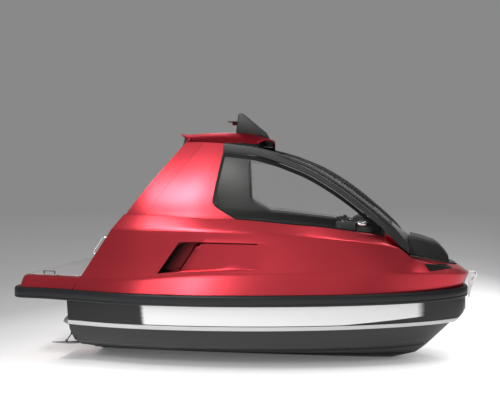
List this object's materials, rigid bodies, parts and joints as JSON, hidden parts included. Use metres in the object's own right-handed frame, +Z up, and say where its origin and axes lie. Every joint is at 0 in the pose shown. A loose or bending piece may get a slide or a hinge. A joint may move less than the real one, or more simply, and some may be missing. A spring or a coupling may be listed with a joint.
{
  "type": "jet boat",
  "caption": "Capsule-shaped jet boat with a closed cabin, wrap-round windscreen, stern platform, hinged bow locker and a steerable water jet.",
  "frame": {"origin": "centreline at the waterline, midway between the rail's bow and stern ends", "axes": "+X to the bow, +Y to port, +Z up"},
  "size_m": [7.962, 3.42, 4.367],
  "materials": {
    "red_paint": "deep metallic red paint on moulded glass fibre",
    "hull_grey": "dark grey satin bottom paint",
    "band_grey": "mirror-bright dark grey band",
    "pale_grey": "pale grey satin",
    "black_gloss": "glossy black",
    "rubber": "charcoal rubber",
    "tinted_glass": "grey tinted glass",
    "deck_grey": "grey non-slip planking",
    "lining": "dark matt lining",
    "leather": "dark grey leather",
    "steel": "polished stainless steel",
    "alloy": "cast marine alloy",
    "lamp": "white lamp lens"
  },
  "bodies": {
    "boat": {"aft_bulkhead": "lining", "anchor": "steel", "arch_port": "black_gloss", "arch_stbd": "black_gloss", "bench_port": "leather", "bench_stbd": "leather", "body_side": "red_paint", "bow_lamp_port": "black_gloss", "bow_lamp_stbd": "black_gloss", "cabin_sole": "deck_grey", "cockpit_deck": "deck_grey", "cowl": "pale_grey", "dashboard": "lining", "engine_block": "alloy", "handrail_port": "steel", "handrail_stbd": "steel", "helm_seat_port": "leather", "helm_seat_stbd": "leather", "hull": "hull_grey", "intake_grille": "alloy", "jet_housing": "alloy", "locker_coaming": "black_gloss", "mast_fin": "black_gloss", "mast_lamp": "lamp", "mast_plate": "black_gloss", "platform_planking": "deck_grey", "quarter_panel_port": "red_paint", "quarter_panel_stbd": "red_paint", "roof_cap": "red_paint", "rub_rail": "rubber", "side_glass_port": "tinted_glass", "side_glass_stbd": "tinted_glass", "spray_rail": "pale_grey", "stem_plate": "steel", "stern_cleat_port": "black_gloss", "stern_cleat_stbd": "black_gloss", "stern_platform": "red_paint", "tab_bracket_port": "steel", "tab_bracket_stbd": "steel", "tail_panel_port": "red_paint", "tail_panel_stbd": "red_paint", "topside_band": "band_grey", "windshield": "tinted_glass", "windshield_header": "black_gloss", "wiper": "black_gloss"},
    "hatch": {"engine_hatch": "deck_grey"},
    "door": {"cabin_door": "black_gloss", "door_glass": "tinted_glass", "door_handle": "steel"},
    "bow_lid": {"locker_lid": "black_gloss"},
    "nozzle": {"steering_nozzle": "black_gloss"},
    "bucket": {"reverse_bucket": "alloy"},
    "wheel": {"steering_wheel": "leather"},
    "tab_port": {"trim_tab_port": "steel"},
    "tab_stbd": {"trim_tab_stbd": "steel"},
    "actuator_port": {"tab_actuator_port": "black_gloss"},
    "actuator_stbd": {"tab_actuator_stbd": "black_gloss"},
    "ram_port": {"tab_ram_port": "steel"},
    "ram_stbd": {"tab_ram_stbd": "steel"}
  },
  "joints": [
    {"name": "hatch_hinge", "type": "hinge", "parent": "boat", "child": "hatch", "pos_m": [-2.44, 0, 0.911], "axis": [0, -1, 0], "range_deg": [0, 60]},
    {"name": "door_hinge", "type": "hinge", "parent": "boat", "child": "door", "pos_m": [-1.082, 0.426, 1.85], "axis": [0, 0, -1], "range_deg": [0, 105]},
    {"name": "bow_lid_hinge", "type": "hinge", "parent": "boat", "child": "bow_lid", "pos_m": [3.566, 0, 1.14824], "axis": [0, 1, 0], "range_deg": [0, 70]},
    {"name": "nozzle_steer", "type": "hinge", "parent": "boat", "child": "nozzle", "pos_m": [-3.25, 0, -0.22], "axis": [0, 0, 1], "range_deg": [-25, 25]},
    {"name": "bucket_pivot", "type": "hinge", "parent": "nozzle", "child": "bucket", "pos_m": [-3.33, 0, -0.22], "axis": [0, -1, 0], "range_deg": [0, 57]},
    {"name": "wheel_turn", "type": "hinge", "parent": "boat", "child": "wheel", "pos_m": [1.47, -0.6, 1.58], "axis": [-0.8829, 0, 0.4695], "range_deg": [-450, 450]},
    {"name": "tab_port_hinge", "type": "hinge", "parent": "boat", "child": "tab_port", "pos_m": [-2.8194, 0.9, -0.305], "axis": [0, -0.9569, -0.2905], "range_deg": [0, 20]},
    {"name": "actuator_port_pivot", "type": "hinge", "parent": "boat", "child": "actuator_port", "pos_m": [-2.8744, 0.95495, -0.00406], "axis": [0, -0.9569, -0.2905], "range_deg": [0, 6.52]},
    {"name": "ram_port_slide", "type": "slide", "parent": "actuator_port", "child": "ram_port", "axis": [-0.5035, 0.251, -0.8267], "range_m": [0, 0.06028]},
    {"name": "tab_stbd_hinge", "type": "hinge", "parent": "boat", "child": "tab_stbd", "pos_m": [-2.8194, -0.9, -0.305], "axis": [0, -0.9569, 0.2905], "range_deg": [0, 20]},
    {"name": "actuator_stbd_pivot", "type": "hinge", "parent": "boat", "child": "actuator_stbd", "pos_m": [-2.8744, -0.95495, -0.00406], "axis": [0, -0.9569, 0.2905], "range_deg": [0, 6.52]},
    {"name": "ram_stbd_slide", "type": "slide", "parent": "actuator_stbd", "child": "ram_stbd", "axis": [-0.5035, -0.251, -0.8267], "range_m": [0, 0.06028]}
  ],
  "couplings": [
    {"joint": "wheel_turn", "follows": "nozzle_steer", "ratio": -18},
    {"joint": "actuator_port_pivot", "follows": "tab_port_hinge", "ratio": 0.3262},
    {"joint": "ram_port_slide", "follows": "tab_port_hinge", "m_per_rad": 0.1727},
    {"joint": "actuator_stbd_pivot", "follows": "tab_stbd_hinge", "ratio": 0.3262},
    {"joint": "ram_stbd_slide", "follows": "tab_stbd_hinge", "m_per_rad": 0.1727}
  ]
}
